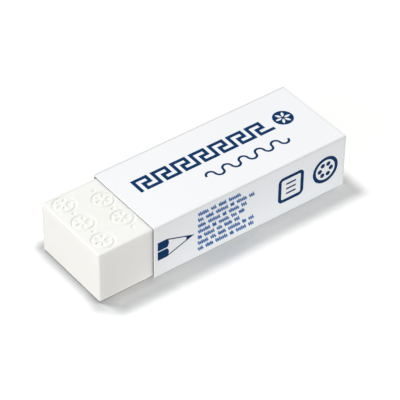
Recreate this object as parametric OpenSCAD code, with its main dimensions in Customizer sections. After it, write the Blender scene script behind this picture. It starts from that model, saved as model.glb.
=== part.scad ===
// Block eraser: a white moulded vinyl block in a printed sleeve of folded card.
// The sleeve grips the block all round, slides along it, and comes off its far end.
//
// Millimetres. The origin is the middle of the underside of the whole eraser.
// X runs along the block, with the bare rubbing end at -X and the sleeve towards +X.
// The printed narrow side faces -Y, the glued seam is on the narrow side at +Y, and Z is up.

/* [Vinyl block] */
// Length of the block
block_l = 65; // [50:0.5:90]
// Width of the block
block_w = 20.7; // [16:0.1:30]
// Height of the block
block_h = 12.9; // [10:0.1:20]
// Radius of the block's softened edges
block_edge_r = 0.4; // [0.25:0.05:1.2]
// Length of bare block in front of the sleeve's mouth
bare_l = 13.7; // [4:0.1:20]

/* [Moulded pattern] */
// Depth of the moulded lines in the top face
relief_depth = 0.3; // [0.1:0.05:0.5]
// Outer diameter of the ring round each rosette
ring_d = 5.2; // [4.8:0.1:6]
// Width of the ring's line
ring_line = 0.45; // [0.2:0.05:0.5]
// Length of one rosette petal
petal_l = 1.6; // [1:0.05:1.7]
// Width of one rosette petal at its middle
petal_w = 0.65; // [0.3:0.05:0.8]
// Space between the rosette's centre and the foot of each petal
petal_foot = 0.35; // [0.35:0.05:0.5]
// Distance from one column of rosettes to the next
column_pitch = 7.5; // [6.5:0.1:10]
// Distance between rosettes in one column
row_pitch = 7; // [6.5:0.1:10]
// Distance from the bare end to the centre of the first column
first_column = 3.6; // [3:0.1:5]
// Diameter of the small pits between rosettes
pit_d = 0.8; // [0.4:0.05:1]

/* [Card sleeve] */
// Thickness of the card
card_t = 0.25; // [0.2:0.05:0.5]
// Sliding gap between block and card, below the block and behind it
slide_gap = 0.1; // [0.05:0.01:0.2]
// Extra gap over the block and on its printed side, where the folds stand off it
play = 0.2; // [0:0.05:0.3]
// Length of the sleeve
sleeve_l = 51.6; // [44:0.2:70]
// Inside radius of the card's folds
fold_r = 0.15; // [0.05:0.05:0.4]
// Height of the glue flap behind the back panel
flap_h = 10; // [5:0.5:10]
// Distance from the top of the sleeve down to the back panel's cut edge
seam_drop = 0.1; // [0.05:0.05:1]

/* [Print on the wide panel] */
// Thickness of the ink film
ink_t = 0.02; // [0.01:0.01:0.05]
// Clear card kept free at each end of the band
band_margin = 4.6; // [3:0.1:8]
// Width of the line that draws the key band
key_line = 0.84; // [0.5:0.02:0.9]
// Distance from the panel's middle to the middle of the key band
band_y = 2.3; // [0:0.1:3]
// Diameter of the solid disc that closes the band
disc_d = 4.8; // [4.4:0.1:6]
// Gap between the key band and the disc
disc_gap = 1.2; // [0.6:0.1:3]
// Middle radius of the arcs in the wavy line
wave_r = 1.1; // [0.6:0.05:1.2]
// Width of the wavy line
wave_line = 0.55; // [0.2:0.05:0.7]
// Number of full waves in the wavy line
wave_count = 5; // [3:1:7]
// Distance from the panel's middle to the middle of the wavy line
wave_y = 3.9; // [3.5:0.1:5]

/* [Print on the narrow side] */
// Distance from the sleeve's mouth to the pencil picture
pencil_x = 0.9; // [0.5:0.1:2]
// Length of the pencil's painted barrel
barrel_l = 2.9; // [2:0.1:4]
// Depth of the scallop that ends each painted face
scallop = 0.5; // [0.1:0.05:0.8]
// Height of the pencil picture
pencil_h = 4.9; // [3:0.1:7]
// Length of the sharpened cone with its lead
cone_l = 6.6; // [4:0.1:7]
// Length of the lead at the tip of the cone
lead_l = 2.6; // [1:0.1:3]
// Width of the thin outline
fine_line = 0.3; // [0.15:0.01:0.4]
// Distance from the sleeve's mouth to the rows of small bars
rows_x = 11.3; // [11:0.1:13]
// Number of rows of small bars
row_count = 7; // [3:1:7]
// Distance from one row to the next
row_step = 1.6; // [1:0.05:1.6]
// Height of the small bars
bar_h = 1.05; // [0.4:0.05:1.1]
// Space between two small bars
bar_gap = 0.45; // [0.3:0.05:1]
// Clear card between the rows and the two signs
sign_gap = 5.6; // [2:0.1:6]
// Width and height of the sheet sign
sheet_w = 7; // [5:0.1:8]
// Outer diameter of the ring sign
sign_ring_d = 7; // [5:0.1:8]
// Space between the two signs
sign_step = 2.6; // [1:0.1:4]
// Clear card between the last sign and the sleeve's end
sign_margin = 2; // [1:0.1:4]
// Width of the line that draws the signs
sign_line = 0.85; // [0.4:0.05:0.95]

/* [Hidden] */
$fn = 48;
eps = 0.01;

// The sleeve's outside. The back is one card thicker, because the flap lies behind it.
sleeve_w = block_w + 2 * slide_gap + play + 3 * card_t;
sleeve_h = block_h + 2 * slide_gap + play + 2 * card_t;
fold_outer_r = fold_r + card_t;

// Places along X and Y, from the length of the whole eraser.
whole_l = max(block_l, bare_l + sleeve_l);
block_x = -whole_l / 2;
sleeve_x = block_x + bare_l;
block_y = sleeve_w / 2 - 2 * card_t - slide_gap - block_w / 2;
block_z = card_t + slide_gap;

// The key band: a running key on a grid of key_line, as many units as the panel takes.
key_unit = 6 * key_line;
key_count = floor((sleeve_l - 2 * band_margin - disc_d - disc_gap - key_line) / key_unit);
band_l = key_count * key_unit + key_line;
band_x = (sleeve_l - band_l - disc_gap - disc_d) / 2;

// The narrow side: the signs keep to the far end, and the rows fill what is left.
ring_sign_x = sleeve_l - sign_margin - sign_ring_d / 2;
sheet_x = ring_sign_x - sign_ring_d / 2 - sign_step - sheet_w / 2;
rows_l = sheet_x - sheet_w / 2 - sign_gap - rows_x;
// Share of the row length that each row fills, and the lengths of successive bars
row_fill = [0.72, 1, 0.9, 0.78, 0.7, 0.94, 1];
bar_ls = [2.9, 1.6, 2.2, 3.4, 1.2];

// ---- outlines ----

// Rectangle with one corner at the origin and rounded corners, all true arcs.
module rounded_rect(l, w, r) {
    translate([r, 0])
        square([l - 2 * r, w]);
    translate([0, r])
        square([l, w - 2 * r]);
    for (x = [r, l - r], y = [r, w - r])
        translate([x, y])
            circle(r = r);
}

// Ring line of the given middle radius.
module ring(mid_r, line) {
    difference() {
        circle(r = mid_r + line / 2);
        circle(r = mid_r - line / 2);
    }
}

// Lens of length l and width w along X: where two equal circles overlap.
module lens(l, w) {
    r = (l * l + w * w) / (4 * w);
    intersection() {
        translate([0, r - w / 2])
            circle(r = r);
        translate([0, w / 2 - r])
            circle(r = r);
    }
}

// Six petals, as a pair of compasses draws them.
module petals(foot, l, w) {
    for (a = [0:60:300])
        rotate(a)
            translate([foot + l / 2, 0])
                lens(l, w);
}

// ---- vinyl block ----

// Block with all twelve edges rounded: three rounded bars crossed.
module rounded_block() {
    intersection() {
        linear_extrude(block_h)
            rounded_rect(block_l, block_w, block_edge_r);
        translate([0, block_w, 0])
            rotate([90, 0, 0])
                linear_extrude(block_w)
                    rounded_rect(block_l, block_h, block_edge_r);
        rotate([90, 0, 90])
            linear_extrude(block_l)
                rounded_rect(block_w, block_h, block_edge_r);
    }
}

module ringed_rosette() {
    ring((ring_d - ring_line) / 2, ring_line);
    petals(petal_foot, petal_l, petal_w);
}

// Columns of whole rosettes, each second one dropped by half a row, with a pit between
// each two rosettes of a column and at its ends, wherever the flat of the face has room.
module moulded_pattern() {
    columns = floor((block_l - first_column) / column_pitch);
    rows = ceil(block_w / 2 / row_pitch);
    for (c = [0:columns], r = [-rows:rows]) {
        drop = (c % 2) / 2;
        x = first_column + c * column_pitch;
        y = (r + drop) * row_pitch;
        between = (r + 0.5 - drop) * row_pitch;
        if (abs(y) + ring_d / 2 < block_w / 2 - block_edge_r && x + ring_d / 2 < block_l - block_edge_r)
            translate([x, y])
                ringed_rosette();
        if (abs(between) + pit_d < block_w / 2 - block_edge_r && x + pit_d < block_l - block_edge_r)
            translate([x, between])
                circle(d = pit_d);
    }
}

module eraser_block() {
    color("whitesmoke")
        translate([block_x, block_y, block_z])
            difference() {
                translate([0, -block_w / 2, 0])
                    rounded_block();
                translate([0, 0, block_h - relief_depth])
                    linear_extrude(relief_depth + 1)
                        moulded_pattern();
            }
}

// ---- card sleeve ----

// Quarter of a folded corner, seen along the sleeve; turn picks the corner.
module fold(y, z, turn) {
    translate([y, z])
        rotate(turn)
            intersection() {
                difference() {
                    circle(r = fold_outer_r);
                    circle(r = fold_r);
                }
                square(fold_outer_r);
            }
}

// The card strip end on: flap, top, printed side, bottom and back, with four folds.
// The flap hangs inside, and the back panel is glued over it, up to the first fold.
module card_strip() {
    side = sleeve_w / 2;
    seam_y = side - card_t;
    low = fold_outer_r;
    high = sleeve_h - fold_outer_r;
    translate([seam_y - card_t, sleeve_h - flap_h])
        square([card_t, high - sleeve_h + flap_h]);
    fold(seam_y - fold_outer_r, high, 0);
    translate([fold_outer_r - side, sleeve_h - card_t])
        square([side + seam_y - 2 * fold_outer_r, card_t]);
    fold(fold_outer_r - side, high, 90);
    translate([-side, low])
        square([card_t, high - low]);
    fold(fold_outer_r - side, low, 180);
    translate([fold_outer_r - side, 0])
        square([sleeve_w - 2 * fold_outer_r, card_t]);
    fold(side - fold_outer_r, low, 270);
    translate([seam_y, low])
        square([card_t, sleeve_h - seam_drop - low]);
}

module card_sleeve() {
    color("white")
        translate([sleeve_x, 0, 0])
            rotate([90, 0, 90])
                linear_extrude(sleeve_l)
                    card_strip();
}

// ---- print ----

// One unit of the running key, on a grid of its own line width.
module key_unit_lines() {
    s = key_line;
    square([s, 5 * s]);
    translate([0, 4 * s])
        square([5 * s, s]);
    translate([4 * s, 2 * s])
        square([s, 3 * s]);
    translate([2 * s, 2 * s])
        square([3 * s, s]);
    translate([2 * s, 0])
        square([s, 3 * s]);
    translate([2 * s, 0])
        square([5 * s, s]);
}

module key_band() {
    for (i = [0:key_count - 1])
        translate([i * key_unit, 0])
            key_unit_lines();
}

// Solid disc with a rosette left clear in it.
module rosette_disc() {
    difference() {
        circle(d = disc_d);
        petals(petal_foot, petal_l, petal_w);
    }
}

// Wavy line of half rings, turned up and down in turn, ending at the origin.
module wavy_line() {
    for (i = [1:2 * wave_count])
        translate([(1 - 2 * i) * wave_r, 0])
            rotate(180 * (i % 2))
                intersection() {
                    ring(wave_r, wave_line);
                    translate([-wave_r - wave_line, -eps])
                        square(2 * (wave_r + wave_line));
                }
}

module wide_panel_print() {
    translate([band_x, band_y - 2.5 * key_line])
        key_band();
    translate([band_x + band_l + disc_gap + disc_d / 2, band_y])
        rosette_disc();
    translate([band_x + band_l, -wave_y])
        wavy_line();
}

// Painted face of the pencil, of height h, whose front end bulges by the scallop's depth.
module painted_face(h) {
    foot = barrel_l - scallop;
    r = (h * h / 4 + scallop * scallop) / (2 * scallop);
    square([foot, h]);
    intersection() {
        translate([barrel_l - r, h / 2])
            circle(r = r);
        translate([foot - eps, 0])
            square([scallop + eps, h]);
    }
}

// Pencil in profile: barrel of two painted faces, bare cone and solid lead. The cone's
// clear middle is drawn in from its outline by one line, and ends round inside the lead.
module pencil_picture() {
    half = pencil_h / 2;
    foot = barrel_l - scallop;
    tip = barrel_l + cone_l;
    clear_l = tip - lead_l;
    clear_r = half * lead_l / (tip - foot) - fine_line;
    for (y = [-half, fine_line / 2])
        translate([0, y])
            painted_face(half - fine_line / 2);
    difference() {
        polygon([[foot, -half], [tip, 0], [foot, half]]);
        polygon([[foot - eps, fine_line - half], [clear_l, -clear_r],
            [clear_l, clear_r], [foot - eps, half - fine_line]]);
        translate([clear_l, 0])
            circle(r = clear_r);
    }
}

// Bars that fill one row from x to its end, taking their lengths in turn from bar_ls.
module bar_row(x, i, end) {
    l = min(bar_ls[i % len(bar_ls)], end - x);
    translate([x, -bar_h / 2])
        square([l, bar_h]);
    if (x + l + bar_gap + bar_h < end)
        bar_row(x + l + bar_gap, i + 1, end);
}

module bar_rows() {
    for (r = [0:row_count - 1])
        translate([0, ((row_count - 1) / 2 - r) * row_step])
            bar_row(0, r, rows_l * row_fill[r]);
}

// Sheet sign: an upright sheet's outline with three lines on it.
module sheet_sign() {
    inner = sheet_w - 2 * sign_line;
    translate([-sheet_w / 2, -sheet_w / 2])
        difference() {
            rounded_rect(sheet_w, sheet_w, 1.5 * sign_line);
            translate([sign_line, sign_line])
                rounded_rect(inner, inner, sign_line / 2);
        }
    for (i = [-1:1])
        translate([-inner / 4, i * inner / 4 - sign_line / 4])
            square([inner / 2, sign_line / 2]);
}

// Ring sign: a ring round six dots.
module ring_sign() {
    ring((sign_ring_d - sign_line) / 2, sign_line);
    for (a = [0:60:300])
        rotate(a)
            translate([sign_ring_d / 4.5, 0])
                circle(d = sign_ring_d / 6);
}

module narrow_side_print() {
    translate([pencil_x, 0])
        pencil_picture();
    translate([rows_x, 0])
        bar_rows();
    translate([sheet_x, 0])
        sheet_sign();
    translate([ring_sign_x, 0])
        ring_sign();
}

// Ink film lying on the sleeve's top and on its printed side.
module sleeve_print() {
    color("midnightblue")
        translate([sleeve_x, 0, 0]) {
            translate([0, -card_t / 2, sleeve_h])
                linear_extrude(ink_t)
                    wide_panel_print();
            translate([0, -sleeve_w / 2, sleeve_h / 2])
                rotate([90, 0, 0])
                    linear_extrude(ink_t)
                        narrow_side_print();
        }
}

eraser_block();
card_sleeve();
sleeve_print();
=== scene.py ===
"""Block eraser: a moulded white vinyl block in a printed sleeve of folded card.

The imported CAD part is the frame. Sizes and places are in millimetres, and MM brings them
to metres where a mesh or a material takes them. X runs along the block from the bare end,
the printed narrow side faces -Y, the glued lap is at +Y, and Z is up from the table.
"""

import math

import bpy
import numpy as np
from mathutils import Matrix, Vector


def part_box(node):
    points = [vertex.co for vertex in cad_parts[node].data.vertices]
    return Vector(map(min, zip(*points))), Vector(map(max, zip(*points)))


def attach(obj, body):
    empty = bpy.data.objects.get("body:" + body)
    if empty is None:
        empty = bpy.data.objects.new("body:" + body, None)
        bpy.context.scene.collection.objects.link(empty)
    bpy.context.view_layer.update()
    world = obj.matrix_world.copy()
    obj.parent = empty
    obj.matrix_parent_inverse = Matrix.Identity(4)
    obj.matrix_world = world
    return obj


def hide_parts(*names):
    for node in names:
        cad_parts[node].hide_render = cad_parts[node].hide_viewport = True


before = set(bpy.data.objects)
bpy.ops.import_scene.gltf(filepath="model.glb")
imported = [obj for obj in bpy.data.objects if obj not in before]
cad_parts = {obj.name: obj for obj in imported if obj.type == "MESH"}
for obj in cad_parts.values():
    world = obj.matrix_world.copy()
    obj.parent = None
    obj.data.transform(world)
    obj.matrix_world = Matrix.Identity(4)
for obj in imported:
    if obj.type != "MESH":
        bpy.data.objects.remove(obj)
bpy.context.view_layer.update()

MM = 0.001
# a quarter, a sixth and a full turn
QUARTER, SIXTH, FULL = math.pi / 2, math.pi / 3, 2 * math.pi

# ---------------------------------------------------------------- sizes, in mm


def node_box(name):
    """Lowest and highest corner of a CAD node, in mm."""
    low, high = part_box(name)
    return np.array(low) / MM, np.array(high) / MM


block_low, block_high = node_box("eraser_block")
sleeve_low, sleeve_high = node_box("card_sleeve")
block_l, block_w, block_h = block_high - block_low
sleeve_l, sleeve_w, sleeve_h = sleeve_high - sleeve_low
bare_l = sleeve_low[0] - block_low[0]

# the block's softened edges, and the depth of its moulded pattern
block_edge_r = 0.4
relief_depth = 0.3
# ring round each rosette: outer diameter and line
ring_d = 5.2
ring_line = 0.45
# rosette petals, the space from the centre to their foot, and the radius of their two arcs
petal_l = 1.6
petal_w = 0.65
petal_foot = 0.35
petal_r = (petal_l ** 2 + petal_w ** 2) / (4 * petal_w)
# columns and rows of rosettes, the first column from the bare end, and the pits between
column_pitch = 7.5
row_pitch = 7.0
first_column = 3.6
pit_d = 0.8

# the card, its folds, its glue flap, and how far under the top the back panel stops
card_t = 0.25
fold_r = 0.15
fold_outer_r = fold_r + card_t
flap_h = 10.0
seam_drop = 0.1
# the middle of the wide panel between its folds: the glued side is one card thicker
panel_middle = -card_t / 2

# the ink film; the clear card at both ends of the band, its line and its place across
ink_t = 0.02
band_margin = 4.6
key_line = 0.84
band_y = 2.3
# the disc that closes the band
disc_d = 4.8
disc_gap = 1.2
# the wavy line: middle radius of its arcs, its line, its full waves and its place across
wave_r = 1.1
wave_line = 0.55
wave_count = 5
wave_y = 3.9

# the pencil: its place from the mouth, its painted barrel, its height, its cone with the
# lead at the tip, the scallop that ends each painted face, and its thin outline
pencil_x = 0.9
barrel_l = 2.9
pencil_h = 4.9
cone_l = 6.6
lead_l = 2.6
scallop = 0.5
fine_line = 0.3
# the rows of small bars: place from the mouth, number, pitch, height and gap of the bars,
# the share of the row length that each row fills, and the lengths of successive bars
rows_x = 11.3
row_count = 7
row_step = 1.6
bar_h = 1.05
bar_gap = 0.45
row_fill = (0.72, 1, 0.9, 0.78, 0.7, 0.94, 1)
bar_lengths = (2.9, 1.6, 2.2, 3.4, 1.2)
# the sheet and the ring: clear card before them, their sizes, the space between them, the
# clear card after them, and their line
sign_gap = 5.6
sheet_w = 7.0
sign_ring_d = 7.0
sign_step = 2.6
sign_margin = 2.0
sign_line = 0.85

# places of the print, from the sleeve's mouth
key_unit = 6 * key_line
key_count = math.floor((sleeve_l - 2 * band_margin - disc_d - disc_gap - key_line) / key_unit)
band_l = key_count * key_unit + key_line
band_x = (sleeve_l - band_l - disc_gap - disc_d) / 2
ring_sign_x = sleeve_l - sign_margin - sign_ring_d / 2
sheet_x = ring_sign_x - sign_ring_d / 2 - sign_step - sheet_w / 2
rows_l = sheet_x - sheet_w / 2 - sign_gap - rows_x

# ---------------------------------------------------------------- camera

# the way to the camera, its turn about that way, its distance and its target
VIEW_AZIMUTH = math.radians(-37.6)
VIEW_ELEVATION = math.radians(40.56)
VIEW_ROLL = math.radians(0.73)
VIEW_DISTANCE = 471.5
VIEW_TARGET = (-0.89, -2.765, 6.9)
LENS, SENSOR = 198.5, 36
# in metres
CLIP_START, CLIP_END = 0.02, 20


def new_object(name, data):
    """Object linked into the scene."""
    made = bpy.data.objects.new(name, data)
    bpy.context.scene.collection.objects.link(made)
    return made


def make_camera():
    """Camera on a long lens, looking down along one corner of the block."""
    data = bpy.data.cameras.new("studio_camera")
    data.lens = LENS
    data.sensor_width = SENSOR
    data.clip_start = CLIP_START
    data.clip_end = CLIP_END
    back = Vector((
        math.sin(VIEW_AZIMUTH) * math.cos(VIEW_ELEVATION),
        -math.cos(VIEW_AZIMUTH) * math.cos(VIEW_ELEVATION),
        math.sin(VIEW_ELEVATION),
    ))
    turn = (-back).to_track_quat("-Z", "Y").to_matrix().to_4x4()
    roll = Matrix.Rotation(VIEW_ROLL, 4, "Z")
    place = Matrix.Translation((Vector(VIEW_TARGET) + back * VIEW_DISTANCE) * MM)
    camera = new_object("studio_camera", data)
    camera.matrix_world = place @ turn @ roll
    bpy.context.scene.camera = camera


make_camera()
bpy.context.scene.view_settings.view_transform = "Standard"

# ---------------------------------------------------------------- node helpers


def feed(tree, node, values):
    """Fill a node's sockets, each with a plain value or with another node's output."""
    for socket, value in values:
        if isinstance(value, bpy.types.NodeSocket):
            tree.links.new(value, node.inputs[socket])
        else:
            node.inputs[socket].default_value = value
    return node


def put(tree, kind, values=(), **settings):
    """New node of one kind. values are pairs of socket and value or linked output."""
    made = tree.nodes.new(kind)
    for name, value in settings.items():
        setattr(made, name, value)
    return feed(tree, made, values)


def maths(tree, operation, first, second=0.0, third=0.0):
    """Output of one Math node."""
    made = put(tree, "ShaderNodeMath", [(0, first), (1, second), (2, third)], operation=operation)
    return made.outputs[0]


def product(tree, first, *others):
    """Product of several outputs."""
    for other in others:
        first = maths(tree, "MULTIPLY", first, other)
    return first


def spread(tree, value, low, high, to_low=0.0, to_high=1.0):
    """Output of a Map Range node that takes low..high to to_low..to_high and clamps."""
    pairs = [(0, value), (1, low), (2, high), (3, to_low), (4, to_high)]
    return put(tree, "ShaderNodeMapRange", pairs).outputs[0]


def stretch(tree, axis, origin, reach, to_start=0.0, to_end=1.0):
    """Spread along one axis over a stretch, which reach gives in mm from the origin."""
    start, end = reach
    return spread(tree, axis, (origin + start) * MM, (origin + end) * MM, to_start, to_end)


def blend_colours(tree, factor, first, second):
    """Output of a colour Mix node."""
    pairs = [(0, factor), (6, first), (7, second)]
    return put(tree, "ShaderNodeMix", pairs, data_type="RGBA").outputs[2]


def noise(tree, vector, scale, detail):
    """Output of a Noise node."""
    pairs = [("Vector", vector), ("Scale", scale), ("Detail", detail)]
    return put(tree, "ShaderNodeTexNoise", pairs).outputs[0]


def new_material(name):
    """Material with its node tree, its Principled BSDF and the place on the piece, which is
    in metres."""
    material = bpy.data.materials.new(name)
    material.use_nodes = True
    tree = material.node_tree
    place = put(tree, "ShaderNodeTexCoord").outputs["Object"]
    return material, tree, tree.nodes["Principled BSDF"], place


def axes_of(tree, place):
    """The three coordinates of a place."""
    return put(tree, "ShaderNodeSeparateXYZ", [(0, place)]).outputs


def distance(tree, place, middle=(0.0, 0.0, 0.0)):
    """How far a place is from a middle."""
    pairs = [(0, place), (1, middle)]
    return put(tree, "ShaderNodeVectorMath", pairs, operation="DISTANCE").outputs["Value"]


def roughen(tree, shader, height, depth, strength):
    """Bump on the shader's normal. depth is in mm."""
    bump = put(tree, "ShaderNodeBump",
               [("Height", height), ("Distance", depth * MM), ("Strength", strength)])
    feed(tree, shader, [("Normal", bump.outputs[0])])


def new_group(name, inputs, outputs):
    """Shader node group with named inputs (with their defaults) and outputs."""
    tree = bpy.data.node_groups.new(name, "ShaderNodeTree")
    for label, kind, default in inputs:
        socket = tree.interface.new_socket(label, in_out="INPUT", socket_type=kind)
        if default is not None:
            socket.default_value = default
    for label, kind in outputs:
        tree.interface.new_socket(label, in_out="OUTPUT", socket_type=kind)
    return tree, tree.nodes.new("NodeGroupInput").outputs, tree.nodes.new("NodeGroupOutput")


def use_group(tree, group, values):
    """Outputs of the group as a node in a material, with its own values."""
    return put(tree, "ShaderNodeGroup", values, node_tree=group).outputs


# ---------------------------------------------------------------- shared effects

# the grain's second noise: its scale and its weight against the first
WIDE_SCALE, WIDE_WEIGHT = 0.2, 0.6
# where most of a noise lies, and the part of it that shows as flecks
MOST_NOISE, FLECK_NOISE = (0.3, 0.7), (0.62, 0.75)
# the two ways that fibres run: scales along X, Y and Z
FIBRE_WAYS = (0.12, 1.0, 1.0), (1.0, 0.15, 0.5)
# where most of each group's height lies
GRAIN_HEIGHTS, FIBRE_HEIGHTS = (0.5, 1.1), (0.7, 1.3)
# how much of the fibres' height shows through the coat
FIBRE_WEIGHT = 0.7


def grain_group():
    """Fine surface grain: two noises, one at the grain's own size and one five times as
    wide, give a height; a slow noise gives the drift in tone from place to place."""
    tree, inside, outside = new_group(
        "surface_grain",
        [("Vector", "NodeSocketVector", None), ("Grain", "NodeSocketFloat", 8000.0),
         ("Drift", "NodeSocketFloat", 120.0)],
        [("Height", "NodeSocketFloat"), ("Tone", "NodeSocketFloat")],
    )
    fine = noise(tree, inside["Vector"], inside["Grain"], detail=2.0)
    wide_scale = product(tree, inside["Grain"], WIDE_SCALE)
    wide = noise(tree, inside["Vector"], wide_scale, detail=1.0)
    slow = noise(tree, inside["Vector"], inside["Drift"], detail=3.0)
    feed(tree, outside, [
        ("Height", maths(tree, "MULTIPLY_ADD", wide, WIDE_WEIGHT, fine)),
        ("Tone", spread(tree, slow, *MOST_NOISE)),
    ])
    return tree


def fibre_group():
    """Paper fibres: noise stretched along the board's grain direction, laid over the same
    noise stretched the other way, so that short hairs cross each other."""
    tree, inside, outside = new_group(
        "board_fibres",
        [("Vector", "NodeSocketVector", None), ("Scale", "NodeSocketFloat", 3000.0)],
        [("Height", "NodeSocketFloat"), ("Fleck", "NodeSocketFloat")],
    )
    hairs = []
    for way in FIBRE_WAYS:
        mapped = put(tree, "ShaderNodeMapping", [("Vector", inside["Vector"]), ("Scale", way)])
        hairs.append(noise(tree, mapped.outputs[0], inside["Scale"], detail=3.0))
    feed(tree, outside, [
        ("Height", maths(tree, "ADD", *hairs)),
        ("Fleck", spread(tree, hairs[0], *FLECK_NOISE)),
    ])
    return tree


GRAIN = grain_group()
FIBRES = fibre_group()

# ---------------------------------------------------------------- materials

# the two tones that each finish drifts between
VINYL_TONES = (0.912, 0.909, 0.876, 1), (0.927, 0.924, 0.893, 1)
COAT_TONES = (0.926, 0.942, 0.962, 1), (0.941, 0.957, 0.977, 1)
# the next one, the sleeve's inside, is dark grey: painted shade for the gap between card and
# block
INNER_SHADE_TONES = (0.50, 0.495, 0.48, 1), (0.40, 0.395, 0.38, 1)
CUT_TONES = (0.80, 0.80, 0.79, 1), (0.72, 0.72, 0.70, 1)
NAVY_TONES = (0.002, 0.036, 0.120, 1), (0.004, 0.044, 0.150, 1)
SMALL_PRINT_TONES = (0.042, 0.155, 0.400, 1), (0.058, 0.190, 0.480, 1)
# what they turn to in places: a painted highlight and a painted shade for the block's edges,
# painted shade for the gap at the mouth and for the sleeve's far end, and a painted
# highlight for the mouth's cut edge
VINYL_EDGE_HIGHLIGHT, VINYL_BACK_EDGE_SHADE = (0.995, 0.993, 0.975, 1), (0.78, 0.78, 0.76, 1)
GAP_SHADE_TONE = (0.16, 0.16, 0.16, 1)
FAR_END_SHADE_TONE = (0.5, 0.5, 0.5, 1)
CUT_HIGHLIGHT_TONE = (0.97, 0.973, 0.97, 1)

# the painted shade line where the sleeve's mouth lies, for the shade in the gap: where it
# sets in and thins out past the mouth
GAP_SHADE_SETS_IN, GAP_SHADE_THINS = (-0.04, 0.02), (0.3, 1.2)
# its strength on the block's sides and top, and the stretch from the top between them
SIDE_GAP_SHADE, TOP_GAP_SHADE = 0.66, 0.22
GAP_SHADE_CHANGE = (-0.6, -0.1)
# painted shade at the sleeve's far end, outlining it: where it lies, from that end, and how
# grey the two boards get
FAR_SHADE_REACH = (-0.65, -0.2)
COAT_FAR_SHADE, CUT_FAR_SHADE = 0.2, 0.15
# where the painted highlight on the mouth's cut edge fades into the board, past the mouth
CUT_HIGHLIGHT_REACH = (0.2, 0.5)


def mouth_gap_shade(tree, place):
    """Share of painted shade on the block: a dark line where the sleeve's mouth lies,
    standing in for the shade in the gap, sharp towards the bare end, and weaker on the top
    than on the sides."""
    axes = axes_of(tree, place)
    reached = stretch(tree, axes[0], sleeve_low[0], GAP_SHADE_SETS_IN)
    past = stretch(tree, axes[0], sleeve_low[0], GAP_SHADE_THINS, 1.0, 0.0)
    level = stretch(tree, axes[2], block_high[2], GAP_SHADE_CHANGE, SIDE_GAP_SHADE, TOP_GAP_SHADE)
    return product(tree, reached, past, level)


def vinyl_material():
    """White vinyl: warm white, soft sheen, fine moulded grain, tone that drifts slightly
    and a little light carried under the surface. Its rounded edges carry a painted
    highlight, and those at the back, and weakly those across the ends, a painted shade.
    A dark line of painted shade lies where the sleeve's mouth meets the block, for the
    shade in the gap."""
    material, tree, shader, place = new_material("white_vinyl")
    grain = use_group(tree, GRAIN, [("Vector", place), ("Grain", 7000.0), ("Drift", 90.0)])
    body = blend_colours(tree, grain["Tone"], *VINYL_TONES)
    # the edge attribute: above zero a painted highlight, below zero a painted shade
    edge = put(tree, "ShaderNodeAttribute", attribute_name="edge").outputs["Fac"]
    lifted = blend_colours(tree, spread(tree, edge, 0.0, 1.0), body, VINYL_EDGE_HIGHLIGHT)
    edge_shaded = blend_colours(tree, spread(tree, edge, 0.0, -1.0), lifted, VINYL_BACK_EDGE_SHADE)
    feed(tree, shader, [
        ("Base Color", blend_colours(tree, mouth_gap_shade(tree, place), edge_shaded, GAP_SHADE_TONE)),
        ("Roughness", spread(tree, grain["Height"], *GRAIN_HEIGHTS, 0.48, 0.6)),
        ("Subsurface Weight", 0.3),
        ("Subsurface Radius", (1.0, 0.94, 0.84)),
        ("Subsurface Scale", 1.7 * MM),
        ("Specular IOR Level", 0.35),
    ])
    roughen(tree, shader, grain["Height"], depth=0.02, strength=0.35)
    return material


def far_end_shade(tree, place, clean, most):
    """Colour that turns towards grey over the last half millimetre of the far end: a painted
    shade that outlines that end."""
    shaded_end = stretch(tree, axes_of(tree, place)[0], sleeve_high[0], FAR_SHADE_REACH, 0.0, most)
    return blend_colours(tree, shaded_end, clean, FAR_END_SHADE_TONE)


def coated_card_material():
    """Clay-coated face of the card: cool white and smooth, with the board's fibres just
    showing through as low relief, and a little painted shade at its far end."""
    material, tree, shader, place = new_material("coated_card")
    grain = use_group(tree, GRAIN, [("Vector", place), ("Grain", 9000.0), ("Drift", 60.0)])
    fibres = use_group(tree, FIBRES, [("Vector", place), ("Scale", 2500.0)])
    clean = blend_colours(tree, grain["Tone"], *COAT_TONES)
    feed(tree, shader, [
        ("Base Color", far_end_shade(tree, place, clean, COAT_FAR_SHADE)),
        ("Roughness", spread(tree, fibres["Height"], *FIBRE_HEIGHTS, 0.38, 0.5)),
        ("Specular IOR Level", 0.35),
    ])
    height = maths(tree, "MULTIPLY_ADD", fibres["Height"], FIBRE_WEIGHT, grain["Height"])
    roughen(tree, shader, height, depth=0.01, strength=0.25)
    return material


def plain_card_material(name, tones, depth, far_shade=0.0, mouth_highlight=0.0):
    """Uncoated board: matt, with its fibres in relief, depth mm deep, and a few darker
    flecks. The argument after depth gives how grey the painted shade at its far end gets,
    and the last how far it is painted whiter where the mouth is cut, a painted highlight."""
    material, tree, shader, place = new_material(name)
    fibres = use_group(tree, FIBRES, [("Vector", place), ("Scale", 4000.0)])
    plain = blend_colours(tree, fibres["Fleck"], *tones)
    # painted highlight on the cut edge near the mouth
    cut = stretch(tree, axes_of(tree, place)[0], sleeve_low[0], CUT_HIGHLIGHT_REACH, mouth_highlight, 0.0)
    clean = blend_colours(tree, cut, plain, CUT_HIGHLIGHT_TONE)
    feed(tree, shader, [
        ("Base Color", far_end_shade(tree, place, clean, far_shade)),
        ("Roughness", spread(tree, fibres["Height"], *FIBRE_HEIGHTS, 0.75, 0.95)),
        ("Specular IOR Level", 0.2),
    ])
    roughen(tree, shader, fibres["Height"], depth, strength=0.6)
    return material


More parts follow.
